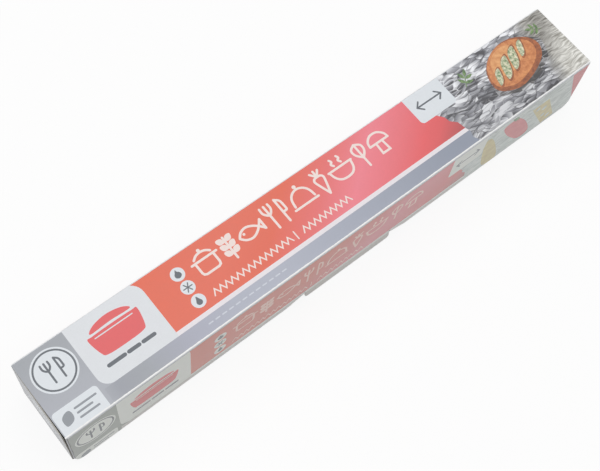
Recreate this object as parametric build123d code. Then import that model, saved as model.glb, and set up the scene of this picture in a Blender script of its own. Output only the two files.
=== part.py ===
"""Household foil in its dispensing carton: a wound roll of aluminium foil on a card core, in a folded
board carton with a hinged lid, a front flap with a thumb tab, and a saw-toothed steel cutter.

Millimetres, +Z up. X runs along the roll. The origin is on the surface that the carton stands on, midway
between its two ends and midway between the flap's outer face and the back wall's outer face.
"""

from build123d import *
import math
import os

# Foil and core
FOIL_WIDTH = 290.0          # width of the sheet, so the length of the wound roll
FOIL_RUN = 10000.0          # length of sheet on the roll
FOIL_GAUGE = 0.011          # thickness of the sheet
WINDING_FILL = 0.90         # share of the wound thickness that is metal
CORE_BORE = 25.0            # inside diameter of the core
CORE_WALL = 1.5
CORE_PROUD = 1.0            # how far the core stands out of the foil at each end
WINDING_CLEARANCE = 0.05    # between the core and the first turn

# Room that the carton leaves round the roll
END_PLAY = 2.1              # core's end to the end wall, at each end
HEADROOM = 6.2              # top of the roll to the lid
ROLL_LIFT = 0.2             # bottom of the roll to the bottom panel
BACK_PLAY = 0.3             # roll to the back wall
FOIL_PATH = 5.18            # roll to the front wall, where the foil is drawn up

# Board and its folds
BOARD = 0.45
FOLD_INSIDE = 0.35          # inside radius of a fold
LID_CLEARANCE = 0.2         # tops of the walls to the lid
LID_TAPER = 0.4             # how far each end of the lid comes in, from the back crease to the front
CREASE_CLEARANCE = 0.15     # lid's front edge to the flap's crease
DUST_FLAP = 14.0            # inner end flaps, one from the front wall and one from the back wall
DUST_TAPER = 3.0            # how much each dust flap narrows at its top and bottom
DUST_RELIEF = 0.6           # dust flap's lower corner to the bottom panel
END_INSET = 0.6             # outer end panel's side edges, in from the front and back walls

# Front flap and thumb tab
FLAP_INSET = 1.0            # flap's ends, in from the carton's ends
FLAP_EDGE = 1.2             # height of the flap's lower edge
FLAP_CORNER = 4.5           # rounding of the flap's two lower corners
FLAP_SPRING = 0.5           # how far the flap's lower edge springs out of upright
TAB_WIDTH = 51.0
TAB_ROOT = 6.0              # height at which the tab bends out of the flap
TAB_TIP = 0.5               # height of the tab's lower edge
TAB_LEAN = 0.6              # how far the tab's lower edge stands out of the flap
TAB_CORNER = 2.0
TAB_SLIT = 0.5              # cut at each side of the tab
NOTCH_RISE = 3.0            # how much higher the flap's lower edge is beside the tab
NOTCH_RUN = 10.0            # length over which it comes down again

# Steel cutter on the flap's inner face
CUTTER_GAUGE = 0.22
CUTTER_BAND = 7.8           # band that lies on the flap, above the teeth
CUTTER_PROUD = 1.0          # how far the cutter stands past each edge of the foil
TOOTH_PITCH = 2.0
TOOTH_DEPTH = 1.2
TOOTH_TIP = 0.4             # height of the points
CUTTER_RELIEF = 0.5         # cutter's plain middle edge, above the notches beside the tab
FLAP_CLEARANCE = 0.3        # cutter to the front wall

# Sizes that follow
CORE_RADIUS = CORE_BORE / 2 + CORE_WALL
WOUND_AREA = FOIL_RUN * FOIL_GAUGE / WINDING_FILL
ROLL_RADIUS = math.sqrt(CORE_RADIUS**2 + WOUND_AREA / math.pi)
CORE_LENGTH = FOIL_WIDTH + 2 * CORE_PROUD
FOLD_OUTSIDE = FOLD_INSIDE + BOARD

CARTON_LENGTH = CORE_LENGTH + 2 * (END_PLAY + 2 * BOARD)
CARTON_HEIGHT = BOARD + ROLL_LIFT + 2 * ROLL_RADIUS + HEADROOM + BOARD
TRAY_DEPTH = BOARD + FOIL_PATH + 2 * ROLL_RADIUS + BACK_PLAY + BOARD
CARTON_WIDTH = BOARD + CUTTER_GAUGE + FLAP_CLEARANCE + TRAY_DEPTH

BACK_FACE = CARTON_WIDTH / 2
FLAP_FACE = -CARTON_WIDTH / 2
FRONT_WALL_FACE = BACK_FACE - TRAY_DEPTH
WALL_TOP = CARTON_HEIGHT - BOARD - LID_CLEARANCE
ROLL_Y = BACK_FACE - BOARD - BACK_PLAY - ROLL_RADIUS
ROLL_Z = BOARD + ROLL_LIFT + ROLL_RADIUS
CREASE_Z = CARTON_HEIGHT - BOARD / 2        # height of the two crease lines that the lid folds on
HINGE_Y = BACK_FACE - BOARD / 2             # crease between the back wall and the lid
FLAP_HINGE_Y = FLAP_FACE + BOARD / 2        # crease between the lid and the front flap
TAB_CUT = TAB_WIDTH / 2 + TAB_SLIT          # from the flap's middle to the cut at each side of the tab
NOTCH_TOP = FLAP_EDGE + NOTCH_RISE


def along_x(section, length):
    """A section drawn on the YZ plane, drawn out to this length, half to each side."""
    return extrude(section, length / 2, both=True)


def rounded_block(length, y_low, y_high, z_low, radius):
    """A block up to the walls' tops, rounded at its two long lower edges and its upright corners."""
    depth = y_high - y_low
    place = Plane.YZ * Pos((y_high + y_low) / 2, z_low)
    section = place * Rectangle(depth, WALL_TOP - z_low, align=(Align.CENTER, Align.MIN))
    section = fillet(section.vertices().group_by(Axis.Z)[0], radius)
    block = along_x(section, length)
    return fillet(block.edges().filter_by(Axis.Z), radius)


def dust_flap_outline(root_y, inward):
    """A dust flap seen along X: full height at the wall it folds from, narrower at its free edge."""
    tip_y = root_y + inward * DUST_FLAP
    low = BOARD + DUST_RELIEF
    return Plane.YZ * make_face(Polyline(
        (root_y, low), (tip_y, low + DUST_TAPER), (tip_y, WALL_TOP - DUST_TAPER), (root_y, WALL_TOP), close=True))


def carton_tray():
    """Bottom, back, front and ends, folded from one piece of board. At each end a dust flap from the front
    wall and one from the back wall turn in, and the bottom's end panel is glued up over them."""
    folded_length = CARTON_LENGTH - 2 * BOARD
    inner_length = folded_length - 2 * BOARD
    inner_front, inner_back = FRONT_WALL_FACE + BOARD, BACK_FACE - BOARD
    tray = rounded_block(folded_length, FRONT_WALL_FACE, BACK_FACE, 0, FOLD_OUTSIDE)
    tray -= rounded_block(inner_length, inner_front, inner_back, BOARD, FOLD_INSIDE)

    end_layer = Plane.YZ * Pos((inner_front + inner_back) / 2, (BOARD + WALL_TOP) / 2)
    opening = end_layer * Rectangle(inner_back - inner_front, WALL_TOP - BOARD)
    opening -= dust_flap_outline(inner_front, 1) + dust_flap_outline(inner_back, -1)
    panel_depth = TRAY_DEPTH - 2 * END_INSET
    end_fold = min(FOLD_OUTSIDE, 0.9 * BOARD)
    for end in (-1, 1):
        tray -= extrude(Pos(end * inner_length / 2, 0, 0) * opening, amount=BOARD, dir=(end, 0, 0))
        panel = Box(BOARD, panel_depth, WALL_TOP, align=(Align.CENTER, Align.CENTER, Align.MIN))
        outer_edge = panel.edges().filter_by(Axis.Y).group_by(Axis.Z)[0].sort_by(Axis.X)[-1 if end > 0 else 0]
        panel = fillet(outer_edge, end_fold)
        tray += Pos(end * (CARTON_LENGTH - BOARD) / 2, (FRONT_WALL_FACE + BACK_FACE) / 2, 0) * panel
    return tray


def lid_panel():
    """The top of the carton. Its back edge is rounded about the crease that it turns on, and its ends taper in
    from the carton's ends towards the front."""
    front_edge = FLAP_FACE + BOARD + CREASE_CLEARANCE
    sheet = Pos((front_edge + HINGE_Y) / 2, CREASE_Z) * Rectangle(HINGE_Y - front_edge, BOARD)
    crease = Pos(HINGE_Y, CREASE_Z) * Circle(BOARD / 2)
    panel = along_x(Plane.YZ * (sheet + crease), CARTON_LENGTH + 2 * BOARD)
    back_half = CARTON_LENGTH / 2
    front_half = back_half - LID_TAPER
    beyond = BACK_FACE + BOARD
    outline = make_face(Polyline(
        (-back_half, beyond), (back_half, beyond), (front_half, FLAP_FACE), (-front_half, FLAP_FACE), close=True))
    return panel & extrude(outline, amount=CARTON_HEIGHT + BOARD)


def thumb_tab():
    """Tongue at the middle of the flap's lower edge, bent outwards so that a thumb can catch it."""
    drop = TAB_ROOT - TAB_TIP
    slope = math.hypot(TAB_LEAN, drop)
    tip_y = FLAP_FACE - TAB_LEAN
    inner_tip = (tip_y + BOARD * drop / slope, TAB_TIP - BOARD * TAB_LEAN / slope)
    section = Plane.YZ * make_face(Polyline(
        (FLAP_FACE, TAB_ROOT), (tip_y, TAB_TIP), inner_tip, (FLAP_FACE + BOARD, TAB_ROOT), close=True))
    tongue = along_x(section, TAB_WIDTH + 2 * TAB_SLIT)
    front_view = Plane((0, FLAP_FACE, inner_tip[1]), x_dir=(1, 0, 0), z_dir=(0, -1, 0))
    outline = front_view * Rectangle(TAB_WIDTH, 2 * drop, align=(Align.CENTER, Align.MIN))
    outline = fillet(outline.vertices().group_by(Axis.Z)[0], TAB_CORNER)
    return tongue & extrude(outline, amount=2 * TAB_LEAN + BOARD, both=True)


def hung(piece):
    """Turned a little about the flap's crease, since the scored board springs back out of upright."""
    crease = Axis((0, FLAP_HINGE_Y, CREASE_Z), (1, 0, 0))
    return piece.rotate(crease, -math.degrees(math.asin(FLAP_SPRING / (CREASE_Z - FLAP_EDGE))))


def front_flap():
    """The lid's front flap, hanging from its crease in front of the front wall. Its lower edge rises to a notch
    at each side of the thumb tab."""
    drop = CREASE_Z - FLAP_EDGE
    sheet = Pos(FLAP_HINGE_Y, FLAP_EDGE + drop / 2) * Rectangle(BOARD, drop)
    crease = Pos(FLAP_HINGE_Y, CREASE_Z) * Circle(BOARD / 2)
    flap = along_x(Plane.YZ * (sheet + crease), CARTON_LENGTH - 2 * FLAP_INSET)
    flap = fillet(flap.edges().filter_by(Axis.Y).group_by(Axis.Z)[0], FLAP_CORNER)
    front_view = Plane((0, FLAP_FACE, 0), x_dir=(1, 0, 0), z_dir=(0, -1, 0))
    notch_end = TAB_CUT + NOTCH_RUN
    window = front_view * make_face(Polyline(
        (-TAB_CUT, TAB_ROOT), (-TAB_CUT, NOTCH_TOP), (-notch_end, FLAP_EDGE), (-notch_end, -BOARD),
        (notch_end, -BOARD), (notch_end, FLAP_EDGE), (TAB_CUT, NOTCH_TOP), (TAB_CUT, TAB_ROOT), close=True))
    flap -= extrude(window, amount=2 * BOARD, both=True)
    return hung(flap + thumb_tab())


def cutter_strip():
    """Steel strip with saw teeth along its lower edge, fixed flat to the flap's inner face. Behind the thumb tab
    its edge is plain and stands back."""
    teeth = round((FOIL_WIDTH + 2 * CUTTER_PROUD) / TOOTH_PITCH)
    half = teeth * TOOTH_PITCH / 2
    gullet = TOOTH_TIP + TOOTH_DEPTH
    top = gullet + CUTTER_BAND
    toothed = math.floor((half - TAB_CUT - NOTCH_RUN) / TOOTH_PITCH)
    plain_half, plain_edge = half - toothed * TOOTH_PITCH, NOTCH_TOP + CUTTER_RELIEF
    right_saw = [(plain_half, plain_edge), (plain_half, gullet)]
    for tooth in range(toothed):
        start = plain_half + tooth * TOOTH_PITCH
        right_saw += [(start + TOOTH_PITCH / 2, TOOTH_TIP), (start + TOOTH_PITCH, gullet)]
    right_saw.append((half, top))
    left_saw = [(-x, z) for x, z in reversed(right_saw)]
    outline = make_face(Polyline(*left_saw, *right_saw, close=True))
    flat = Plane((0, FLAP_FACE + BOARD, 0), x_dir=(1, 0, 0), z_dir=(0, -1, 0))
    return hung(extrude(flat * outline, amount=CUTTER_GAUGE, dir=(0, 1, 0)))


def ring(outer, inner, length):
    """A tube on the roll's own axis."""
    return along_x(Plane.YZ * Pos(ROLL_Y, ROLL_Z) * (Circle(outer) - Circle(inner)), length)


def foil_roll():
    """All the turns of foil, as one wound solid."""
    return ring(ROLL_RADIUS, CORE_RADIUS + WINDING_CLEARANCE, FOIL_WIDTH)


def core_tube():
    """Card tube that the foil is wound on."""
    return ring(CORE_RADIUS, CORE_BORE / 2, CORE_LENGTH)


PIECES = (carton_tray, lid_panel, front_flap, cutter_strip, foil_roll, core_tube)

os.makedirs("parts", exist_ok=True)
for piece in PIECES:
    export_step(piece(), f"parts/{piece.__name__}.step")
print(f"carton {CARTON_LENGTH:.2f} x {CARTON_WIDTH:.2f} x {CARTON_HEIGHT:.2f}, roll diameter {2 * ROLL_RADIUS:.2f}")
print(f"lid hinge y {HINGE_Y:.3f} z {CREASE_Z:.3f}, flap hinge y {FLAP_HINGE_Y:.3f}")
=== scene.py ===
from math import asin, atan2, cos, hypot, pi, radians, sin, tan

import bpy
from mathutils import Matrix, Vector
from mathutils.geometry import delaunay_2d_cdt


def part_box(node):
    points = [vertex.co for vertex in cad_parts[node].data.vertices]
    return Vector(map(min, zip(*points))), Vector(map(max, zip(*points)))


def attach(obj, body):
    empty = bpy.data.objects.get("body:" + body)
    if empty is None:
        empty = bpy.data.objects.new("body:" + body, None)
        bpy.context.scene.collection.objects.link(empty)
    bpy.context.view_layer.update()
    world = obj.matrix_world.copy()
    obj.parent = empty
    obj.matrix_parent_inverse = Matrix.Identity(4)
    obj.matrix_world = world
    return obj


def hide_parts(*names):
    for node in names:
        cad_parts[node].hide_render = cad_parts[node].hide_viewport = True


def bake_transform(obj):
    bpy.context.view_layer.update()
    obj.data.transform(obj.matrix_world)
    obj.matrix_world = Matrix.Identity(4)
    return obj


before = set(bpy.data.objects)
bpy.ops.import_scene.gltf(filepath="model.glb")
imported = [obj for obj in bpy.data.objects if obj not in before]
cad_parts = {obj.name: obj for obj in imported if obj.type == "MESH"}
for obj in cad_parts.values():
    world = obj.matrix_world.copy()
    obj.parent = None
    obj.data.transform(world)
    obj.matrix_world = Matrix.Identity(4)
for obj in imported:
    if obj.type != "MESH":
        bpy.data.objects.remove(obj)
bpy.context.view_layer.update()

# The core is a tube of grey-brown board, wound in a spiral from two plies and cut square at its ends.
# The foil is wound straight on to it, and it stands a little out of the foil at both ends.
MM = 0.001
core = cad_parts["core_tube"]
core_low, core_high = (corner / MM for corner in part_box("core_tube"))
ROLL_AXIS = (core_low + core_high) / 2
PLY_PITCH = 62.0  # run of one turn of the ply's seam
SEAM_SHARE = 0.014  # share of that run that the seam's groove takes


def ink(red, green, blue):
    """A colour given as it looks on a screen, 0 to 255, turned into light."""
    return tuple(((c / 255 + 0.055) / 1.055) ** 2.4 if c > 10 else c / 255 / 12.92 for c in (red, green, blue)) + (1.0,)


def join(tree, node, sockets):
    """Sets each named socket of a node to a value, or joins it to another node's output."""
    for key, value in sockets.items():
        if isinstance(value, bpy.types.NodeSocket):
            tree.links.new(value, node.inputs[key])
        else:
            node.inputs[key].default_value = value


def add(tree, kind, sockets=None, **settings):
    """A shader node of that kind, or a geometry node by its full name, with its settings and its sockets."""
    made = tree.nodes.new(kind if kind.startswith("GeometryNode") else "ShaderNode" + kind)
    for key, value in settings.items():
        setattr(made, key, value)
    join(tree, made, sockets or {})
    return made


def maths(tree, operation, *values):
    """What a Math node makes of some values."""
    return add(tree, "Math", dict(enumerate(values)), operation=operation).outputs[0]


def vectors(tree, operation, *values):
    """What a Vector Math node makes of some vectors: another vector, or a length or a product."""
    result = "Value" if operation in ("LENGTH", "DOT_PRODUCT") else "Vector"
    return add(tree, "VectorMath", dict(enumerate(values)), operation=operation).outputs[result]


def coordinates(tree, place):
    """The three coordinates of a place."""
    return add(tree, "SeparateXYZ", {0: place}).outputs


def ranged(tree, value, first, last, low=0.0, high=1.0):
    """Goes from low to high as the value goes from first to last."""
    return add(tree, "MapRange", {0: value, 1: first, 2: last, 3: low, 4: high}).outputs[0]


def between(tree, share, first, second):
    """A value between two others."""
    return add(tree, "Mix", {0: share, 2: first, 3: second}, data_type="FLOAT").outputs[0]


def mixed(tree, share, first, second, way="MIX"):
    """Two colours mixed, by the second one's share."""
    return add(tree, "Mix", {0: share, 6: first, 7: second}, data_type="RGBA", blend_type=way).outputs[2]


def along_grain(tree, grain, low, high):
    """Goes from low to high over the middle of a grain's range."""
    return ranged(tree, grain, 0.3, 0.7, low, high)


def toned(tree, colour, grain, low, high):
    """A colour made darker and lighter along a grain."""
    return mixed(tree, 1.0, colour, along_grain(tree, grain, low, high), "MULTIPLY")


def noise(tree, place, scale, detail, roughness=0.5):
    """Soft cloudy noise, as a value and as a colour."""
    return add(tree, "TexNoise", {
        "Vector": place, "Scale": scale, "Detail": detail, "Roughness": roughness}).outputs


def stretched(tree, place, scale, turn=0.0):
    """A place turned in the sheet and scaled, so that a pattern there is drawn out."""
    return add(tree, "Mapping", {"Vector": place, "Rotation": (0.0, 0.0, turn), "Scale": scale}).outputs[0]


def bumped(tree, height, strength, depth):
    """A fine relief of that height, strength and depth."""
    return add(tree, "Bump", {"Height": height, "Strength": strength, "Distance": depth}).outputs[0]


def new_material(name):
    """A node material, its tree and its Principled shader."""
    material = bpy.data.materials.new(name)
    material.use_nodes = True
    return material, material.node_tree, material.node_tree.nodes["Principled BSDF"]


def new_group(kind, name, inputs, outputs):
    """An empty node group with its named sockets: its tree, what it is given and what it puts out."""
    tree = bpy.data.node_groups.new(name, kind + "NodeTree")
    for way, sockets in (("INPUT", inputs), ("OUTPUT", outputs)):
        for label, socket in sockets.items():
            tree.interface.new_socket(label, in_out=way, socket_type="NodeSocket" + socket)
    return tree, tree.nodes.new("NodeGroupInput").outputs, tree.nodes.new("NodeGroupOutput").inputs


def board_grain_group():
    """Boxboard up close: fibres that lie along the sheet, and a soft mottle in how the surface takes colour."""
    group, given, out = new_group(
        "Shader", "board_grain", {"Place": "Vector", "Fibre": "Float"}, {"Mottle": "Float", "Height": "Float"})
    fibre = noise(group, stretched(group, given["Place"], (0.35, 1.0, 1.0)), 2600.0, 4.0)[0]
    cloud = noise(group, given["Place"], 160.0, 5.0, 0.7)[0]
    group.links.new(between(group, given["Fibre"], cloud, fibre), out["Mottle"])
    group.links.new(fibre, out["Height"])
    return group


board_grain = board_grain_group()


def grained(tree, place, fibre=0.5):
    """The board's grain at a place: its mottle and its height."""
    return add(tree, "Group", {"Place": place, "Fibre": fibre}, node_tree=board_grain).outputs


def core_board():
    """Grey-brown core board with the dark groove of its spiral seam."""
    material, tree, shader = new_material("core_board")
    place = add(tree, "TexCoord").outputs["Object"]
    centred = vectors(tree, "ADD", place, tuple(-ROLL_AXIS * MM))
    along, aside, up = coordinates(tree, centred)
    turn = maths(tree, "MULTIPLY", maths(tree, "ARCTAN2", up, aside), 1 / (2 * pi))
    wound = maths(tree, "MULTIPLY_ADD", along, 1 / (PLY_PITCH * MM), turn)
    groove = ranged(tree, maths(tree, "FRACT", wound), 0.0, SEAM_SHARE, 1.0, 0.0)
    grain = grained(tree, centred, 0.6)
    plain = toned(tree, ink(176, 160, 138), grain["Mottle"], 0.82, 1.1)
    join(tree, shader, {
        "Base Color": mixed(tree, groove, plain, ink(104, 90, 74)), "Roughness": 0.85,
        "Normal": bumped(tree, grain["Height"], 0.3, 0.00006)})
    return material


core.data.materials.clear()
core.data.materials.append(core_board())

# The foil is one long sheet wound on the core, bright side out. Its turns are drawn as a spiral of fewer, thicker
# ones that run a little to one side or the other, so the ends are finely ridged. The loose end lies flat on the roll.
roll_low, roll_high = (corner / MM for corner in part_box("foil_roll"))
ROLL_RADIUS = (roll_high.z - roll_low.z) / 2
ROLL_WIDTH = roll_high.x - roll_low.x
WOUND_FROM = (core_high.z - core_low.z) / 2 + 0.05
TURNS = 8.58  # the part turn brings the loose end to the top of the roll, at the front
TURN_PITCH = (ROLL_RADIUS - WOUND_FROM) / (TURNS + 1)
SHEET_INSET = 0.2  # how much narrower the drawn sheet is than the roll's box
RUN_OUT, DENT = 0.5, 0.12  # how far a turn may run to one side, and how deep the soft dents are


def rolled_metal(name, colour, roughness, drawn_out, streak):
    """Rolled sheet metal: bright, with fine streaks that lie along the way it was rolled."""
    material, tree, shader = new_material(name)
    place = stretched(tree, add(tree, "TexCoord").outputs["Object"], drawn_out)
    lines = noise(tree, place, 900.0, 5.0, 0.6)[0]
    join(tree, shader, {
        "Base Color": toned(tree, colour, lines, 0.9, 1.05), "Metallic": 1.0,
        "Roughness": along_grain(tree, lines, roughness - 0.06, roughness + 0.08),
        "Normal": bumped(tree, lines, streak, 0.00002)})
    return material


def shaped(tree, kind, sockets, **settings):
    """What a geometry node makes."""
    return add(tree, "GeometryNode" + kind, sockets, **settings).outputs[0]


def end_tree(tree, geometry, given, out):
    """Ends a geometry tree: what it made is made real and given its material."""
    real = shaped(tree, "RealizeInstances", {"Geometry": geometry})
    faced = shaped(tree, "SetMaterial", {"Geometry": real, "Material": given["Material"]})
    tree.links.new(faced, out["Geometry"])
    return tree


def winding_tree():
    """A sheet wound in a spiral about the roll's axis, each turn run a little to one side, with soft dents."""
    tree, given, out = new_group("Geometry", "foil_winding", {
        "Turns": "Float", "Steps": "Int", "First Radius": "Float", "Last Radius": "Float", "Width": "Float",
        "Gauge": "Float", "Axis": "Vector", "Run Out": "Float", "Dent": "Float", "Material": "Material"},
        {"Geometry": "Geometry"})
    spiral = shaped(tree, "CurveSpiral", {
        "Resolution": given["Steps"], "Rotations": given["Turns"], "Start Radius": given["First Radius"],
        "End Radius": given["Last Radius"], "Height": 0.0})
    upright = shaped(tree, "SetCurveNormal", {"Curve": spiral}, mode="Z_UP")
    edge = shaped(tree, "CurvePrimitiveQuadrilateral", {"Width": given["Gauge"], "Height": given["Width"]})
    divided = shaped(tree, "SubdivideCurve", {"Curve": edge, "Cuts": 9})
    sheet = shaped(tree, "CurveToMesh", {"Curve": upright, "Profile Curve": divided, "Fill Caps": True})
    at = shaped(tree, "InputPosition", {})
    flat = vectors(tree, "MULTIPLY", at, (1.0, 1.0, 0.0))
    uneven = add(tree, "TexNoise", {
        "W": vectors(tree, "LENGTH", flat), "Scale": 9000.0, "Detail": 2.0}, noise_dimensions="1D").outputs[0]
    slipped = maths(tree, "MULTIPLY", maths(tree, "SUBTRACT", uneven, 0.5), given["Run Out"])
    sideways = add(tree, "CombineXYZ", {"Z": slipped}).outputs[0]
    depth = maths(tree, "MULTIPLY", noise(tree, at, 60.0, 2.0)[0], given["Dent"])
    pressed = add(tree, "VectorMath", {
        0: vectors(tree, "NORMALIZE", flat), "Scale": depth}, operation="SCALE").outputs[0]
    settled = shaped(tree, "SetPosition", {"Geometry": sheet, "Offset": vectors(tree, "SUBTRACT", sideways, pressed)})
    laid = shaped(tree, "Transform", {
        "Geometry": settled, "Translation": given["Axis"], "Rotation": (0.0, pi / 2, 0.0)})
    return end_tree(tree, laid, given, out)


def new_piece(name, data):
    """An object with that mesh, lamp or camera, put in the scene."""
    piece = bpy.data.objects.new(name, data)
    bpy.context.collection.objects.link(piece)
    return piece


def realized(name, tree, values, sharp_from):
    """A piece made by a geometry tree with these inputs, as a plain mesh with sharp edges from that angle on."""
    piece = new_piece(name, bpy.data.meshes.new(name))
    modifier = piece.modifiers.new(name, "NODES")
    modifier.node_group = tree
    for item in tree.interface.items_tree:
        if item.in_out == "INPUT":
            modifier[item.identifier] = values[item.name]
    mesh = bpy.data.meshes.new_from_object(piece.evaluated_get(bpy.context.evaluated_depsgraph_get()))
    piece.modifiers.clear()
    piece.data = mesh
    mesh.shade_smooth()
    mesh.set_sharp_from_angle(angle=radians(sharp_from))
    return piece


bright_foil = rolled_metal("bright_foil", ink(194, 196, 200), 0.27, (1.0, 0.03, 0.03), 0.3)
foil = realized("foil_winding", winding_tree(), {
    "Turns": TURNS, "Steps": 96, "First Radius": (WOUND_FROM + TURN_PITCH / 2) * MM,
    "Last Radius": (ROLL_RADIUS - TURN_PITCH / 2) * MM, "Width": (ROLL_WIDTH - SHEET_INSET) * MM,
    "Gauge": 0.94 * TURN_PITCH * MM, "Axis": ROLL_AXIS * MM, "Run Out": RUN_OUT * MM, "Dent": DENT * MM,
    "Material": bright_foil}, 35)
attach(foil, "tray")
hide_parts("foil_roll")

# The carton's tray is folded from coated boxboard, printed on the outside and left grey inside. Front, bottom and
# back make a trough; at each end a dust flap from the front and one from the back turn in, and the bottom's end
# panel is glued up over them.
tray_low, tray_high = (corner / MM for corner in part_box("carton_tray"))
lid_low, lid_high = (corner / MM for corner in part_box("lid_panel"))
BOARD = lid_high.z - lid_low.z
FOLD = 0.6  # outside radius of a fold
QUARTER = FOLD * pi / 2  # outer skin that a square fold takes
FOLD_STEPS = 6
HALF_LENGTH = tray_high.x
TOP, BACK, FRONT_WALL, WALL_TOP = lid_high.z, lid_high.y, tray_low.y, tray_high.z
DUST_FLAP, DUST_TAPER, DUST_LOW = 14.0, 3.0, 1.1
LAYER_GAP = 0.05  # between an end panel and the dust flaps under it
END_SPRING = {-1: 0.5, 1: 0.15}  # how far each end panel's top springs out of square at its front corner
WHITE_INK = ink(225, 228, 232)
BANDS = ((-126, ink(166, 169, 177)), (-120, ink(154, 157, 166)), (-108, ink(158, 162, 169)), (-85, ink(170, 172, 187)),
         (-60, ink(176, 180, 194)), (-40, ink(176, 180, 194)), (60, ink(142, 149, 165)))
RED_SHEEN_SLANT = 1.25  # the red field's colours, and the pink band of painted sheen among them, lean this much along for each step across
# The orange-red and full red stops are the print; the pink stops from -5 to 40 are a painted sheen of the varnish.
REDS_AND_SHEEN = ((-110, ink(228, 98, 66)), (-60, ink(228, 102, 75)), (-33, ink(227, 96, 67)), (-5, ink(231, 106, 105)),
        (17, ink(240, 125, 138)), (40, ink(234, 108, 117)), (58, ink(231, 88, 92)), (68, ink(222, 84, 87)),
        (82, ink(184, 74, 76)))
BARE_BOARD = ink(250, 250, 249)


def worn_fold_group():
    """Bare white board showing through the print along a fold or a cut edge, broken up along its run."""
    group, given, out = new_group(
        "Shader", "worn_fold", {"Place": "Vector", "Across": "Float", "Line": "Float", "Width": "Float"},
        {"Mask": "Float"})
    patchy = noise(group, given["Place"], 420.0, 6.0, 0.75)[0]
    away = maths(group, "ABSOLUTE", maths(group, "SUBTRACT", given["Across"], given["Line"]))
    share = maths(group, "DIVIDE", away, given["Width"])
    broken = maths(group, "MULTIPLY_ADD", patchy, 1.1, share)
    group.links.new(ranged(group, broken, 1.25, 0.95), out["Mask"])
    return group


worn_fold = worn_fold_group()


def coated(name, colour, worn=()):
    """Printed and varnished board. The colour is one ink, or a function that builds a picture's nodes. Each worn line
    is an axis of the flat blank, a place on it and a width."""
    material, tree, shader = new_material(name)
    blank = add(tree, "UVMap", uv_map="Blank").outputs[0]
    grain = grained(tree, blank)
    shown = toned(tree, colour(tree, blank) if callable(colour) else colour, grain["Mottle"], 0.955, 1.03)
    across = coordinates(tree, blank)
    for axis, line, width in worn:
        rubbed = add(tree, "Group", {
            "Place": blank, "Across": across[axis], "Line": line * MM, "Width": width * MM}, node_tree=worn_fold)
        shown = mixed(tree, rubbed.outputs["Mask"], shown, BARE_BOARD)
    join(tree, shader, {
        "Base Color": shown, "Roughness": along_grain(tree, grain["Mottle"], 0.37, 0.49),
        "Coat Weight": 0.45, "Coat Roughness": 0.22, "Normal": bumped(tree, grain["Height"], 0.12, 0.00004)})
    return material


def uncoated(name, colour, fleck_colour):
    """Uncoated board: recycled fibres of mixed greys, matt."""
    material, tree, shader = new_material(name)
    blank = add(tree, "UVMap", uv_map="Blank").outputs[0]
    grain = grained(tree, blank, 0.7)
    curl = noise(tree, blank, 260.0, 2.0)["Color"]
    swung = vectors(tree, "ADD", blank, vectors(tree, "MULTIPLY", curl, (0.012, 0.012, 0.0)))
    short = stretched(tree, swung, (0.3, 1.0, 1.0))
    flecks = add(tree, "TexVoronoi", {"Vector": short, "Scale": 1100.0}).outputs["Distance"]
    plain = toned(tree, colour, grain["Mottle"], 0.88, 1.08)
    join(tree, shader, {
        "Base Color": mixed(tree, ranged(tree, flecks, 0.06, 0.2, 0.5, 0.0), plain, fleck_colour), "Roughness": 0.82,
        "Normal": bumped(tree, grain["Height"], 0.25, 0.00006)})
    return material


def colour_run(tree, value, stops, unit=MM):
    """Colours that run into each other, each with the value, in that unit, where it is at its fullest."""
    first, last = stops[0][0], stops[-1][0]
    run = add(tree, "ValToRGB", {0: ranged(tree, value, first * unit, last * unit)})
    while len(run.color_ramp.elements) < len(stops):
        run.color_ramp.elements.new(0.5)
    for stop, (where, colour) in zip(run.color_ramp.elements, stops):
        stop.position, stop.color = (where - first) / (last - first), colour
    return run.outputs[0]


def red_field_and_sheen(level):
    """The red field runs slantwise from orange-red at the left through a pink band of painted sheen to a full red that
    is shaded at the picture. The level is the place on the blank of the panel's middle line."""
    def build(tree, place):
        along, across, _ = coordinates(tree, place)
        slant = maths(tree, "MULTIPLY_ADD", maths(tree, "SUBTRACT", across, level * MM), RED_SHEEN_SLANT, along)
        return colour_run(tree, slant, REDS_AND_SHEEN)
    return build


def lilac_band(tree, place):
    """The long band is a plain grey at its left, lilac along its middle and slate at its right."""
    return colour_run(tree, coordinates(tree, place)[0], BANDS)


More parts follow.
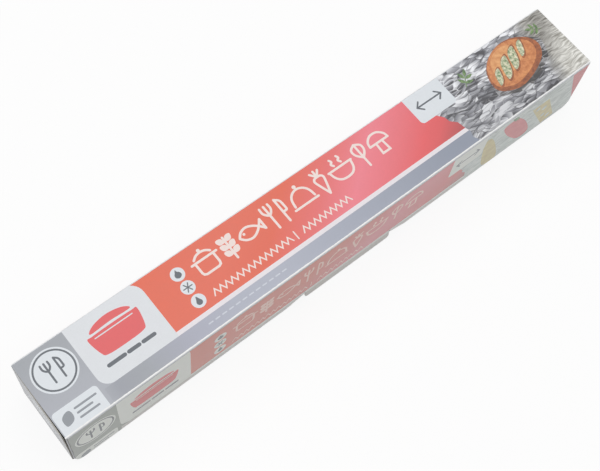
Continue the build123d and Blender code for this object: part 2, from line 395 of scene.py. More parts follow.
def folded_board(name, outline, prints, lines, place, finishes):
    """A sheet cut to outline, printed with named shapes one over the other, and folded by place(x, s), which gives the
    outer skin's point and the way it faces. Each triangle takes the finish of the topmost shape that covers it. The
    inner skin lies one board below, and a rim closes the cut edges."""
    points, rings, folds = [], [], []
    for shape in [outline] + [shape for _, shape in prints]:
        area = sum(x0 * y1 - x1 * y0 for (x0, y0), (x1, y1) in zip(shape, shape[1:] + shape[:1]))
        rings.append(list(range(len(points), len(points) + len(shape))))
        points += [Vector(p) for p in (shape if area > 0 else reversed(shape))]
    for start, end in lines:
        folds.append((len(points), len(points) + 1))
        points += [Vector(start), Vector(end)]
    flat, _, faces, _, _, covers = delaunay_2d_cdt(points, folds, rings, 1, 1e-4)
    kept = [(face, max(cover)) for face, cover in zip(faces, covers) if 0 in cover]
    used = sorted({v for face, _ in kept for v in face})
    index = {v: i for i, v in enumerate(used)}
    slots = {label: i for i, label in enumerate(finishes)}
    placed = [place(*flat[v]) for v in used]
    corners = [at * MM for at, _ in placed] + [(at - facing * BOARD) * MM for at, facing in placed]
    polygons, finish, cut = [], [], {}
    for face, top in kept:
        outer = [index[v] for v in reversed(face)]
        polygons.append(outer)
        finish.append(slots[prints[top - 1][0] if top else "white"])
        for a, b in zip(outer, outer[1:] + outer[:1]):
            if cut.pop((b, a), None) is None:
                cut[a, b] = True
    skin = len(polygons)
    polygons += [[len(used) + c for c in reversed(outer)] for outer in polygons]
    finish += [slots["inside"]] * skin
    polygons += [[b, a, len(used) + a, len(used) + b] for a, b in cut]
    finish += [slots["edge"]] * len(cut)
    mesh = bpy.data.meshes.new(name)
    mesh.from_pydata(corners, [], polygons)
    for material in finishes.values():
        mesh.materials.append(material)
    mesh.polygons.foreach_set("material_index", finish)
    map_blank(mesh, [flat[v] for v in used] * 2, skin)
    mesh.validate()
    mesh.shade_smooth()
    mesh.set_sharp_from_angle(angle=radians(28))
    return new_piece(name, mesh)


MAP_GAP = 1.0  # between the parts of the baking map, in millimetres of board
EDGE_CELL, EDGE_USED, EDGE_ROOM = 0.5, 0.4, 12.0  # the map's cell for one face of a cut edge, and the room for them all


def map_blank(mesh, flat, skin):
    """Two maps of the flat blank: Blank in metres, for the finishes, and OFBake, which lays the printed skin's left and
    right halves one above the other, then the inner skin at half size, then the cut edges."""
    half = max(abs(p.x) for p in flat)
    low = min(p.y for p in flat)
    rise = max(p.y for p in flat) - low
    wide, high = half + MAP_GAP, 2.5 * rise + EDGE_ROOM
    per_row = int(wide / EDGE_CELL)
    blank = mesh.uv_layers.new(name="Blank")
    baked = mesh.uv_layers.new(name="OFBake")
    for polygon in mesh.polygons:
        cell = polygon.index - 2 * skin
        right = sum(flat[v].x for v in polygon.vertices) > 0
        for turn, (loop, v) in enumerate(zip(polygon.loop_indices, polygon.vertices)):
            x, s = flat[v].x, flat[v].y - low
            blank.data[loop].uv = (x * MM, flat[v].y * MM)
            if polygon.index < skin:
                at = (x, s + rise + MAP_GAP) if right else (x + half, s)
            elif cell < 0:
                at = ((x + half) / 2, s / 2 + 2 * (rise + MAP_GAP))
            else:
                at = (cell % per_row * EDGE_CELL + EDGE_USED * (turn in (1, 2)),
                      2.5 * rise + 3 * MAP_GAP + cell // per_row * EDGE_CELL + EDGE_USED * (turn in (2, 3)))
            baked.data[loop].uv = ((at[0] + MAP_GAP / 2) / wide, (at[1] + MAP_GAP / 2) / high)
    blank.active_render = True


def fold_lines(start, low, high, upright=False):
    """Lines across a fold that begins at start: its steps, and one close to each side that keeps the panels flat."""
    steps = [start + QUARTER * k / FOLD_STEPS for k in range(FOLD_STEPS + 1)]
    marks = [start - 0.25] + steps + [start + QUARTER + 0.25]
    return [((m, low), (m, high)) if upright else ((low, m), (high, m)) for m in marks]


def box(x0, y0, x1, y1, corners=(0, 0, 0, 0)):
    """A rectangle with a radius for its upper left, upper right, lower right and lower left corner."""
    outline = []
    turns = (((x0, y1), (1, -1), 180), ((x1, y1), (-1, -1), 90), ((x1, y0), (-1, 1), 0), ((x0, y0), (1, 1), -90))
    for radius, ((x, y), (sx, sy), first) in zip(corners, turns):
        for k in range(9 if radius else 1):
            a = radians(first - 90 * k / 8)
            outline.append((x + sx * radius + radius * cos(a), y + sy * radius + radius * sin(a)))
    return outline


def disc(x, y, radius, sides=32):
    """A round spot of ink."""
    return [(x + radius * cos(2 * pi * k / sides), y + radius * sin(2 * pi * k / sides)) for k in range(sides)]


def stroke(points, width):
    """A drawn line of even width with round ends."""
    runs = [(Vector(b) - Vector(a)).normalized() for a, b in zip(points, points[1:])]
    left, right = [], []
    for i, point in enumerate(points):
        before, after = runs[max(i - 1, 0)], runs[min(i, len(runs) - 1)]
        across = (before + after).normalized().orthogonal()
        reach = across * (width / 2 / max(0.45, across.dot(after.orthogonal())))
        left.append(tuple(Vector(point) + reach))
        right.append(tuple(Vector(point) - reach))
    outline = []
    for side, tip, run in ((left, points[-1], runs[-1]), (right[::-1], points[0], -runs[0])):
        outline += side
        heading = atan2(run.y, run.x) + pi / 2
        outline += [(tip[0] + width / 2 * cos(heading - pi * k / 6),
                     tip[1] + width / 2 * sin(heading - pi * k / 6)) for k in range(1, 6)]
    return outline


def smooth(points, closed=True, steps=5):
    """A line that runs smoothly through its points, round to its start if it is closed."""
    count = len(points)
    outline = []
    for i in range(count if closed else count - 1):
        near = [points[(i + k) % count if closed else min(max(i + k, 0), count - 1)] for k in (-1, 0, 1, 2)]
        p0, p1, p2, p3 = (Vector(p) for p in near)
        for k in range(steps):
            t = k / steps
            squared, cubed = 2 * p0 - 5 * p1 + 4 * p2 - p3, 3 * p1 - p0 - 3 * p2 + p3
            at = (2 * p1 + (p2 - p0) * t + squared * t**2 + cubed * t**3) / 2
            outline.append((at.x, at.y))
    return outline if closed else outline + [tuple(points[-1])]


def moved(shape, x, y, scale=1.0, turn=0.0):
    """A shape drawn about its own middle, put at its place on a panel."""
    c, s = scale * cos(turn), scale * sin(turn)
    return [(x + c * px - s * py, y + s * px + c * py) for px, py in shape]


def whole(half):
    """An even line or shape from one half of it: the half, and its mirror image back from the middle."""
    return half + [(-x, y) for x, y in reversed(half) if x]


FLAME = smooth([(0, -1.9), (1.5, -1.0), (1.3, 0.5), (0.5, 1.2), (0.1, 2.2), (-0.7, 1.0), (-1.4, 0.1), (-1.4, -1.1)])
DROP = smooth([(0, 2.2)] + whole([(0.8, 0.6), (1.4, -0.6), (0.9, -1.7), (0, -2.0)]))
SNOWFLAKE = [moved(stroke([(-2.1, 0), (2.1, 0)], 0.5), 0, 0, 1.0, k * pi / 3) for k in range(3)]


def use_marks(x, heights, size=1.0, pitch=0.0):
    """Three white discs with a flame, a snowflake and a drop: for the oven, the freezer and keeping moist."""
    art = []
    for k, (y, drawing) in enumerate(zip(heights, ([FLAME], SNOWFLAKE, [DROP]))):
        art.append(("label", disc(x + k * pitch, y, 3.2 * size)))
        art += [("dark", moved(shape, x + k * pitch, y, size)) for shape in drawing]
    return art


FRONT_END = WALL_TOP - FOLD
BOTTOM_START = FRONT_END + QUARTER
BOTTOM_END = BOTTOM_START + BACK - FRONT_WALL - 2 * FOLD
BACK_START = BOTTOM_END + QUARTER
BACK_END = BACK_START + TOP - 2 * FOLD
DUST_CREASE = HALF_LENGTH - BOARD - LAYER_GAP - FOLD
PANEL_CREASE = HALF_LENGTH - FOLD


def tray_place(x, s):
    """Where a point of the tray's flat blank goes. s runs down the front wall, along the bottom and up the back."""
    if s <= FRONT_END:
        y, z, inward = FRONT_WALL, WALL_TOP - s, Vector((0, 1, 0))
    elif s <= BOTTOM_START:
        a = (s - FRONT_END) / FOLD
        y, z = FRONT_WALL + FOLD - FOLD * cos(a), FOLD - FOLD * sin(a)
        inward = Vector((0, cos(a), sin(a)))
    elif s <= BOTTOM_END:
        y, z, inward = FRONT_WALL + FOLD + s - BOTTOM_START, 0.0, Vector((0, 0, 1))
    elif s <= BACK_START:
        a = (s - BOTTOM_END) / FOLD
        y, z = BACK - FOLD + FOLD * sin(a), FOLD - FOLD * cos(a)
        inward = Vector((0, -sin(a), cos(a)))
    else:
        y, z, inward = BACK, FOLD + s - BACK_START, Vector((0, -1, 0))
    is_panel = BOTTOM_START <= s <= BOTTOM_END
    crease = PANEL_CREASE if is_panel else DUST_CREASE
    past, side = abs(x) - crease, -1 if x < 0 else 1
    if past <= 0:
        return Vector((x, y, z)), -inward
    a = min(past / FOLD, pi / 2)
    depth = FOLD * (1 - cos(a)) + max(0.0, past - QUARTER)
    sprung = 0.0
    if is_panel:
        sprung = END_SPRING[side] * (depth / WALL_TOP) ** 2 * (BOTTOM_END - s) / (BOTTOM_END - BOTTOM_START)
    facing = Vector((side * sin(a), 0, 0)) - inward * cos(a)
    return Vector((side * (crease + FOLD * sin(a) + sprung), y, z)) + inward * depth, facing


dust_tip = DUST_CREASE + QUARTER + DUST_FLAP - FOLD
panel_tip = PANEL_CREASE + QUARTER + WALL_TOP - FOLD
right_side = [
    (DUST_CREASE, 0.0), (dust_tip, DUST_TAPER), (dust_tip, FRONT_END - DUST_TAPER),
    (DUST_CREASE, FRONT_END - DUST_LOW + FOLD), (DUST_CREASE, BOTTOM_START + 0.05),
    (panel_tip - 1.0, BOTTOM_START + 0.05), (panel_tip, BOTTOM_START + 1.05),
    (panel_tip, BOTTOM_END - 1.05), (panel_tip - 1.0, BOTTOM_END - 0.05), (DUST_CREASE, BOTTOM_END - 0.05),
    (DUST_CREASE, BACK_START + DUST_LOW - FOLD), (dust_tip, BACK_START + DUST_TAPER),
    (dust_tip, BACK_END - DUST_TAPER), (DUST_CREASE, BACK_END)]
tray_outline = whole(right_side)
far = panel_tip + 1
tray_lines = fold_lines(FRONT_END, -far, far) + fold_lines(BOTTOM_END, -far, far) + [((0, -1), (0, BACK_END + 1))]
for end_fold in (DUST_CREASE, PANEL_CREASE):
    for (x, low), (_, high) in fold_lines(end_fold, -1, BACK_END + 1, upright=True):
        tray_lines += [((x, low), (x, high)), ((-x, low), (-x, high))]
tray_lines += [((side * (panel_tip - k * 6), BOTTOM_START), (side * (panel_tip - k * 6), BOTTOM_END))
               for k in range(1, 6) for side in (-1, 1)]

bottom_worn = [(1, FRONT_END + QUARTER / 2, 0.5), (1, BOTTOM_END + QUARTER / 2, 0.5)]
end_worn = [(0, PANEL_CREASE + QUARTER / 2, 0.5), (0, -PANEL_CREASE - QUARTER / 2, 0.5)]
board_inside = uncoated("board_inside", ink(190, 186, 178), ink(140, 135, 126))
board_edge = uncoated("board_edge", ink(184, 181, 174), ink(150, 146, 138))
label_board = coated("print_label", ink(226, 231, 236))
dark_board = coated("print_dark", ink(84, 90, 98))
tray_finishes = {
    "white": coated("tray_white", WHITE_INK, bottom_worn), "grey": coated("tray_grey", ink(168, 171, 177), end_worn),
    "red": coated("tray_red", red_field_and_sheen((BACK_START + BACK_END) / 2)),
    "band": coated("tray_band", lilac_band, bottom_worn), "label": label_board, "dark": dark_board,
    "inside": board_inside, "edge": board_edge}
LABEL_CORNERS = (1.7, 1.7, 1.7, 1.7)


def on_back(art):
    """Art drawn as seen from behind, x along and y up from the bottom, on the back wall of the blank."""
    return [(label, [(-x, BACK_START - FOLD + y) for x, y in shape]) for label, shape in art]


back_art = [("band", box(-far, FOLD, far, 7.6)), ("red", box(-far, 9.5, far, TOP - 1.6)),
            ("label", box(72, 14.5, 132, 30.1, LABEL_CORNERS))]
for row, lengths in enumerate(((14, 16), (8, 9), (20, 11))):
    for column, length in enumerate(lengths):
        x, y = 76 + 27 * column, 26.7 - 4.4 * row
        back_art.append(("grey", stroke([(x, y), (x + length, y)], 1.1)))
back_art += use_marks(-118, (22.3, 22.3, 22.3), 1.9, 17.0)


def on_front(art):
    """Art drawn as seen from the front, x along and y up from the bottom, on the front wall under the flap."""
    return [(label, [(x, WALL_TOP - y) for x, y in shape]) for label, shape in art]


def on_end(art, side):
    """Art drawn as seen from one end, about the middle of the end panel."""
    middle, half_up = (BOTTOM_START + BOTTOM_END) / 2, PANEL_CREASE + QUARTER - FOLD + WALL_TOP / 2
    return [(label, [(side * (half_up + y), middle + side * x) for x, y in shape]) for label, shape in art]


STEP_LINE, ARROW_BARB = 0.9, 1.7  # weight of the step drawings, and length of an arrow's barbs


def half_ring(radius, first):
    """Half a circle about the middle, from that angle on."""
    turns = [first + pi * k / 12 for k in range(13)]
    return [(radius * cos(a), radius * sin(a)) for a in turns]


def arrow(x, y, length, turn):
    """A drawn arrow from its tail's place."""
    tip, barbs = (0, length), length - ARROW_BARB
    lines = ([(0, 0), tip], [(-1.6, barbs), tip, (1.6, barbs)])
    return [moved(stroke(line, STEP_LINE), x, y, 1.0, turn) for line in lines]


def ringed(x, y):
    """A round label with a dark ring near its rim."""
    return [(label, disc(x, y, radius, 64)) for label, radius in (("label", 9.7), ("dark", 8.9), ("label", 8.1))]


DRAW_OUT = [stroke(half_ring(r, a), STEP_LINE) for r in (5.2, 2.2) for a in (0, pi)]
DRAW_OUT += [stroke([(5.2, 0), (5.2, 8)], STEP_LINE)]
ROLL_MARK = DRAW_OUT[:]  # the roll alone, without the arrow
DRAW_OUT += arrow(9.6, -3.5, 8.0, 0.0)
TEAR_OFF = [stroke([(-11 + 1.6 * k, -3.0 if k % 2 else -5.2) for k in range(15)], STEP_LINE)]
TEAR_OFF += arrow(-7.5, 2.6, 15.0, -pi / 2)
TUCK_IN = [stroke(line, STEP_LINE) for line in (whole([(-9, 1.6), (-9, -5.2)]), [(-9, 3.4), (9, 3.4)])]
TUCK_IN += arrow(0, 2.2, 5.4, pi)
step_art = []
for step, drawing in enumerate((DRAW_OUT, TEAR_OFF, TUCK_IN)):
    middle = -90 + 90 * step
    step_art.append(("label", box(middle - 28, 9.2, middle + 28, 28.2, LABEL_CORNERS)))
    step_art += [("dark", moved(shape, middle, 18.7)) for shape in drawing]
RING_MARK = ringed(0, 0) + [("dark", moved(shape, 0, 0, 0.62)) for shape in ROLL_MARK]
end_low, end_high = BOTTOM_START - 1, BOTTOM_END + 1
end_inner = PANEL_CREASE - 0.6
tray_prints = [
    ("grey", box(-far, -1, far, FRONT_END + 0.4)),
    ("band", box(-PANEL_CREASE, FRONT_END + 0.4, PANEL_CREASE, BACK_START)),
    ("grey", box(end_inner, end_low, far, end_high)), ("grey", box(-far, end_low, -end_inner, end_high))]
tray_prints += on_back(back_art) + on_front(step_art) + on_end(RING_MARK, 1) + on_end(RING_MARK, -1)
tray = folded_board("tray_board", tray_outline, tray_prints, tray_lines, tray_place, tray_finishes)
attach(tray, "tray")
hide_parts("carton_tray")

# The lid is the top of the same board, with its front flap hanging from a scored crease over the front wall. Both
# carry the print: white panels, a red field, a long band, line drawings and a picture on crumpled foil. A tongue
# at the flap's middle is cut free at its sides and bent out for the thumb.
_, flap_high = (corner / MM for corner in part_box("front_flap"))
LID_TAPER = 0.4  # how far each end of the lid comes in, from the back crease to the front
LID_HALF, FLAP_HALF, FRONT = HALF_LENGTH - LID_TAPER, flap_high.x, -BACK
FLAP_EDGE, FLAP_CORNER = 1.2, 4.5
FLAP_SPRING = 0.5  # how far the flap's lower edge springs out of upright
FLAP_LEAN = asin(FLAP_SPRING / (TOP - BOARD / 2 - FLAP_EDGE))
TAB_HALF, TAB_SLIT, TAB_ROOT, TAB_TIP, TAB_LEAN, TAB_CORNER = 25.5, 0.5, 6.0, 0.5, 0.6, 2.0
TAB_CUT, TAB_DROP = TAB_HALF + TAB_SLIT, TAB_ROOT - TAB_TIP
TAB_RUN = hypot(TAB_LEAN, TAB_DROP)
NOTCH_RISE, NOTCH_RUN = 3.0, 10.0  # beside the tab the flap's edge rises this much, and comes down over this length
LID_SAG = 0.2  # how much lower the lid's middle lies than its edges
TOP_RUN = BACK - FRONT - 2 * FOLD
FLAP_START = TOP_RUN + QUARTER
FLAP_TOP = TOP - FOLD
EDGE_S = FLAP_START + FLAP_TOP - FLAP_EDGE
ROOT_S = FLAP_START + FLAP_TOP - TAB_ROOT
TIP_S = ROOT_S + TAB_RUN


def lid_place(x, s):
    """Where a point of the lid's flat blank goes. s runs from the back crease to the front and down the flap."""
    if s <= TOP_RUN:
        sag = LID_SAG * sin(pi * s / TOP_RUN) * (1 - (x / LID_HALF) ** 4)
        return Vector((x, BACK - FOLD - s, TOP - sag)), Vector((0, 0, 1))
    if s <= FLAP_START:
        a = (s - TOP_RUN) / FOLD
        facing = Vector((0, -sin(a), cos(a)))
        return Vector((x, FRONT + FOLD, TOP - FOLD)) + facing * FOLD, facing
    out = Vector((0, -cos(FLAP_LEAN), sin(FLAP_LEAN)))
    down = Vector((0, -sin(FLAP_LEAN), -cos(FLAP_LEAN)))
    at = Vector((x, FRONT, FLAP_TOP))
    if abs(x) < TAB_HALF + TAB_SLIT / 2 and s > ROOT_S:
        share = (s - ROOT_S) / TAB_RUN
        at += down * (ROOT_S - FLAP_START + share * TAB_DROP) + out * share * TAB_LEAN
        return at, (out * TAB_DROP - down * TAB_LEAN) / TAB_RUN
    return at + down * (s - FLAP_START), out


LINE_WEIGHT = 1.1  # of the white drawings on the red field
LEAF = smooth([(0, -1)] + whole([(0.75, -0.2), (0.6, 0.6), (0, 1.1)]))
HERB_LEAF = smooth([(0, -1)] + whole([(0.36, -0.5), (0.46, 0), (0.3, 0.6), (0, 1.2)]), steps=3)


def drawn(*lines):
    """A line drawing: open lines through these points, straight where there are two."""
    return [stroke(smooth(line, False) if len(line) > 2 else line, LINE_WEIGHT) for line in lines]


def mirrored(line):
    return [(-x, y) for x, y in line]


POT = drawn([(-6.3, 2), (6.3, 2)], whole([(-4.2, 3.5), (-2.4, 4.8), (0, 5.3)])) + [
    stroke(whole([(-4.6, 2), (-4.6, -3), (-4.2, -4.1), (-3.1, -4.6)]), LINE_WEIGHT), disc(0, 6.3, 0.85, 16)]
SPRIG = drawn([(0, -6.2), (0, 5)]) + [
    moved(LEAF, side * 2.0, y, 1.9, -side * 0.9) for y in (-2.6, 0.6, 3.8) for side in (-1, 1)]
FISH = drawn([(-6, 0), (-4, 2.1), (-1, 2.9), (2, 1.8), (4.4, -0.2), (6.3, -2.5)],
             [(-6, 0), (-4, -2.1), (-1, -2.9), (2, -1.8), (4.4, 0.2), (6.3, 2.5)], [(6.3, -2.5), (6.3, 2.5)]) + [
    disc(-3.3, 0.7, 0.65, 16)]
CUTLERY = drawn([(-2.7, -6), (-2.7, 6)], [(-4.9, 6), (-4.8, 3.2), (-2.7, 1.2), (-0.6, 3.2), (-0.5, 6)],
                [(3, -6), (3, 6)], [(3, 6), (4.9, 4.2), (5.2, 1.5), (5, -0.8), (3, -0.9)])
CLOCHE = drawn(whole([(-5.4, -2.6), (-4.7, 1.0), (-2.8, 3.3), (0, 4.2)]), [(-6.4, -4), (6.4, -4)]) + [
    disc(0, 5.6, 0.95, 16)]
CARROT_SIDE = [(0, -6.2), (-1.9, -0.5), (-2.5, 2.0), (-1.6, 3.2), (0, 3.4)]
CARROT = drawn(CARROT_SIDE, mirrored(CARROT_SIDE), *([(0, 3.4), leaf] for leaf in ((-2.2, 6.2), (0, 6.6), (2.2, 6.2))))
BOWL = drawn(whole([(-6, 1.5), (-5, -2.2), (-2.4, -4.4)]), [(-6.4, 1.5), (6.4, 1.5)],
             [(-2, 3.2), (-2.7, 4.4), (-1.7, 5.4), (-2.2, 6.6)], [(2, 3.2), (1.3, 4.4), (2.3, 5.4), (1.8, 6.6)])
WHISK_SIDE = [(0, -1.4), (-2.5, 1.4), (-2.7, 4.4), (0, 6.2)]
WHISK = drawn([(0, -6.2), (0, 6.2)], WHISK_SIDE, mirrored(WHISK_SIDE))
MUSHROOM = drawn(whole([(-5.2, 0.6), (-4.6, 3), (-2.4, 5), (0, 5.5)]), [(-5.2, 0.6), (5.2, 0.6)]) + [
    stroke(whole([(-1.7, 0.6), (-2.1, -5)]), LINE_WEIGHT)]
DRAWINGS = ((POT, 6.9), (SPRIG, 3.4), (FISH, 6.9), (CUTLERY, 5.6), (CLOCHE, 7.0), (CARROT, 3.1), (BOWL, 7.0),
            (WHISK, 3.4), (MUSHROOM, 5.8))  # each with half the room that it takes
DISH = smooth(whole([(-12, 4), (-9.5, 4.6), (0, 4.8)]) + whole([(10.6, -3.4), (8.4, -5.4), (0, -5.8)]))
DISH_LID = smooth(whole([(-9.6, 5.7), (-7, 8.2), (0, 9.4)]) + [(0, 6.0)])
LOAF = smooth([(-17, -1.6), (-14, 3.6), (-7, 6.6), (2, 7.2), (10, 5.4), (16, 1.2), (16.6, -3.2), (11, -6.4),
               (0, -7.4), (-10, -6.2)], steps=8)
SLASH = smooth([(-0.7, -2.6), (0.7, -1.2), (0.9, 2.4), (-0.7, 1.0)])
FIELD_LOW, LINE_LOW = -9.4, -11.4
TORN_EDGE = [(67.2, 3.4), (69.6, 0.4), (70.2, -2.6), (72.9, -5.2), (73.7, -9.4), (74.6, -12.2), (73.4, -15.0),
             (74.9, -18.0)]
BADGE, DISH_AT = (-136.6, 6.8), (-107.6, 4.8)  # where the round mark and the dish lie on a panel


def panel_art(low, high):
    """What the top and the flap both carry, in panel millimetres, x along and y up, from low to high."""
    art = [
        ("grey", box(-LID_HALF - 2, low, -118, high)), ("band", box(-125.6, low, 75, LINE_LOW)),
        ("red", box(-100, FIELD_LOW, 76, high)), ("line", box(-110, LINE_LOW, 75, FIELD_LOW)),
        ("white", box(-125.6, LINE_LOW, -89.3, high + 1, (0, 6.6, 0, 5.4)))]
    art += ringed(*BADGE)
    art += [("label", box(-148.2, -18.1, -127.3, -7.6, (1.7, 1.7, 0, 0))),
            ("mark", moved(LEAF, -143.4, -12.9, 3.0, -0.6))]
    art += [("dark", moved(shape, *BADGE, 0.78)) for shape in CUTLERY]
    art += [("mark", stroke([(-139, y), (end, y)], 0.9))
            for y, end in ((-10.8, -129.4), (-13, -132.4), (-15.2, -130.6))]
    art += [("motif", moved(shape, *DISH_AT)) for shape in (DISH, DISH_LID)]
    art.append(("white", stroke([(-116.6, 8.0), (-98.6, 8.0)], 0.5)))
    art += [("dark", stroke([(a, -4.6), (b, -4.6)], 1.7)) for a, b in ((-118.6, -111), (-109, -104), (-102, -96.6))]
    art += use_marks(-73.8, (10.7, 3.5, -3.9))
    left = -67.5
    for drawing, half in DRAWINGS:
        art += [("pale", moved(shape, left + half, 8.0)) for shape in drawing]
        left += 2 * half + 1.45
    wave = [(-67 + 1.5 * k, -3.5 if k % 2 else -6.3) for k in range(51)]
    art += [("pale", stroke(line, 0.6)) for line in (wave[:29], [(-22.7, -2.9), (-22.7, -6.9)], wave[32:])]
    art += [("faint", stroke([(-76.5 + 3.5 * k, -14.6), (-74.6 + 3.5 * k, -14.6)], 0.6)) for k in range(12)]
    return art


def size_label(high):
    """A white label with a double arrow."""
    heads = [[(65, 13.8), (62.6, 11.4), (65, 9.0)], [(74.8, 13.8), (77.2, 11.4), (74.8, 9.0)]]
    return [("label", box(59, 3.4, 80.8, high + 1, (0, 0, 2, 2)))] + [
        ("dark", stroke(line, 0.8)) for line in [[(62.9, 11.4), (76.9, 11.4)]] + heads]


def herb_sprig(x, y, size, turn):
    """A sprig of herb with five pointed leaves."""
    leaves = ((0, 2.0, 0.0), (0.9, 1.0, -0.9), (-0.9, 1.1, 0.9), (0.85, -0.4, -1.2), (-0.85, -0.3, 1.2))
    drawing = [stroke([(0, -1.8), (0, 1.2)], 0.22)] + [moved(HERB_LEAF, u, v, 0.95, a) for u, v, a in leaves]
    return [("green", moved(shape, x, y, size, turn)) for shape in drawing]


def top_picture(low, high):
    """The picture on the top: a cut loaf with herbs on crumpled foil."""
    round_loaf = [(x, 1.45 * y) for x, y in LOAF]
    shadow = smooth([(1.15 * x + 0.9 * sin(3 * x), 1.14 * y) for x, y in round_loaf[::4]])
    art = [("foil", TORN_EDGE + [(74.6, low), (LID_HALF + 2, low), (LID_HALF + 2, high + 1), (67.2, high + 1)]),
           ("shade", moved(shadow, 117.6, 2.0, 1.0, 0.3)), ("crust", moved(round_loaf, 117, 3.4, 1.05, 0.3)),
           ("bake", moved(round_loaf, 116.4, 4.4, 0.93, 0.3)), ("glow", moved(round_loaf, 115.2, 6.6, 0.6, 0.3))]
    for k, size in enumerate((2.2, 2.9, 2.9, 2.2)):
        x, y = 106.2 + 6.6 * k, 1.2 + 2.0 * k
        art += [("crust", moved(SLASH, x, y, size, -0.3)), ("herb", moved(SLASH, x - 0.2, y + 0.2, size - 0.4, -0.3))]
    return art + herb_sprig(91.5, 9.5, 2.0, -0.6) + herb_sprig(139.5, 11, 1.7, 1.1) + size_label(high)


def flap_picture(low, high):
    """The picture on the flap: slices of bread, tomato and cheese fanned out on pale foil, and a red end panel."""
    bread = smooth([(80.5, 13.5), (84, 14.5), (90, 4), (96, -13), (90, -14.6), (85.5, -11), (82, 2)])
    tomato = smooth([(92.5, 15), (98, 16.6), (103, 14.5), (111, 4), (117, -9), (111, -11), (103, -3), (96, 7)])
    cheese = [(112.5, 12), (124, 12), (136.5, -12.5), (128, -13.5)]
    art = [("haze", TORN_EDGE[:5] + [(74.6, low), (LID_HALF + 2, low), (LID_HALF + 2, high + 1), (67.2, high + 1)]),
           ("tan", bread), ("rose", tomato), ("green", moved(HERB_LEAF, 100, 16.4, 3.0, 0.9)), ("tan", cheese),
           ("rose", [(135.4, high + 1), (LID_HALF + 2, high + 1), (LID_HALF + 2, -9), (147.6, -7)])]
    holes = ((118, 8, 1.4), (123.5, 4.5, 1.7), (125.5, -3.5, 1.3), (130.5, -8, 1.5))
    art += [("haze", disc(x, y, radius, 16)) for x, y, radius in holes]
    return art + size_label(high)


def cut_at(shape, line, beyond):
    """The part of a shape on one side of a line across the blank."""
    kept = []
    for (x0, s0), (x1, s1) in zip(shape, shape[1:] + shape[:1]):
        in0, in1 = (s0 >= line) == beyond, (s1 >= line) == beyond
        if in0:
            kept.append((x0, s0))
        if in0 != in1:
            kept.append((x0 + (line - s0) / (s1 - s0) * (x1 - x0), line))
    return kept


TOP_MARGIN = BACK - FOLD  # the print runs up to the back crease
PRINT_LIFT = 16.2  # the flap's print stands this much higher than the top's
PRINT_LOW, FLAP_PRINT_HIGH = -18.5, 23.5
FLAP_LEVEL = FLAP_START + FLAP_TOP - PRINT_LIFT
FLAP_MARGIN = FLAP_START + 0.5
FLAP_INKS = {"white": "card", "line": "card", "grey": "ash", "red": "dull", "band": "strip", "pale": "buff",
             "label": "card"}  # the flap's inks are warmer than the top's, and its red is greyed by a painted sheen
top_prints = [(label, cut_at([(x, BACK - FOLD - y) for x, y in shape], TOP_RUN + 0.1, False))
              for label, shape in panel_art(PRINT_LOW, TOP_MARGIN) + top_picture(PRINT_LOW, TOP_MARGIN)]
flap_art = panel_art(PRINT_LOW, FLAP_PRINT_HIGH) + flap_picture(PRINT_LOW, FLAP_PRINT_HIGH)
flap_prints = [(FLAP_INKS.get(label, label), cut_at([(x, FLAP_LEVEL - y) for x, y in shape], FLAP_MARGIN, True))
               for label, shape in flap_art if max(y for _, y in shape) > -14.6]
# A thin grey line across the flap just under the crease: painted shade below the fold.
flap_prints.append(("mark", box(-FLAP_HALF - 2, FLAP_MARGIN - 0.1, FLAP_HALF + 2, FLAP_MARGIN + 0.2)))
lid_prints = [(label, shape) for label, shape in top_prints + flap_prints if len(shape) > 2]


def rounded(x, s, radius):
    """A rounded corner of the blank, from its side to its end."""
    turns = [pi * k / 12 for k in range(7)]
    return [(x - radius * (1 - cos(a)), s - radius * (1 - sin(a))) for a in turns]


right_half = [(HALF_LENGTH, 0.0), (LID_HALF, TOP_RUN), (LID_HALF, TOP_RUN + QUARTER * 0.45),
              (FLAP_HALF, TOP_RUN + QUARTER * 0.5)]
right_half += rounded(FLAP_HALF, EDGE_S, FLAP_CORNER)
right_half += [(TAB_CUT + NOTCH_RUN, EDGE_S), (TAB_CUT, EDGE_S - NOTCH_RISE), (TAB_CUT, ROOT_S), (TAB_HALF, ROOT_S)]
right_half += rounded(TAB_HALF, TIP_S, TAB_CORNER)
lid_outline = whole(right_half)
lid_lines = fold_lines(TOP_RUN, -LID_HALF - 1, LID_HALF + 1) + [((-TAB_HALF, ROOT_S), (TAB_HALF, ROOT_S))]
lid_lines += [((LID_HALF * k / 12, -1), (LID_HALF * k / 12, TIP_S + 1)) for k in range(-11, 12)]
lid_lines += [((-LID_HALF - 1, TOP_RUN * k / 8), (LID_HALF + 1, TOP_RUN * k / 8)) for k in range(1, 8)]


def grey_end(tree, place):
    """The grey end field lightens towards the front of the lid."""
    share = ranged(tree, coordinates(tree, place)[1], 0.004, 0.024)
    return mixed(tree, share, ink(160, 164, 170), ink(172, 175, 183))


FOIL_SEED = 6.1
FACETS = ((150.0, 380.0, 1.2), (400.0, 1000.0, -0.5))  # size, steepness and turn of the large and the small facets


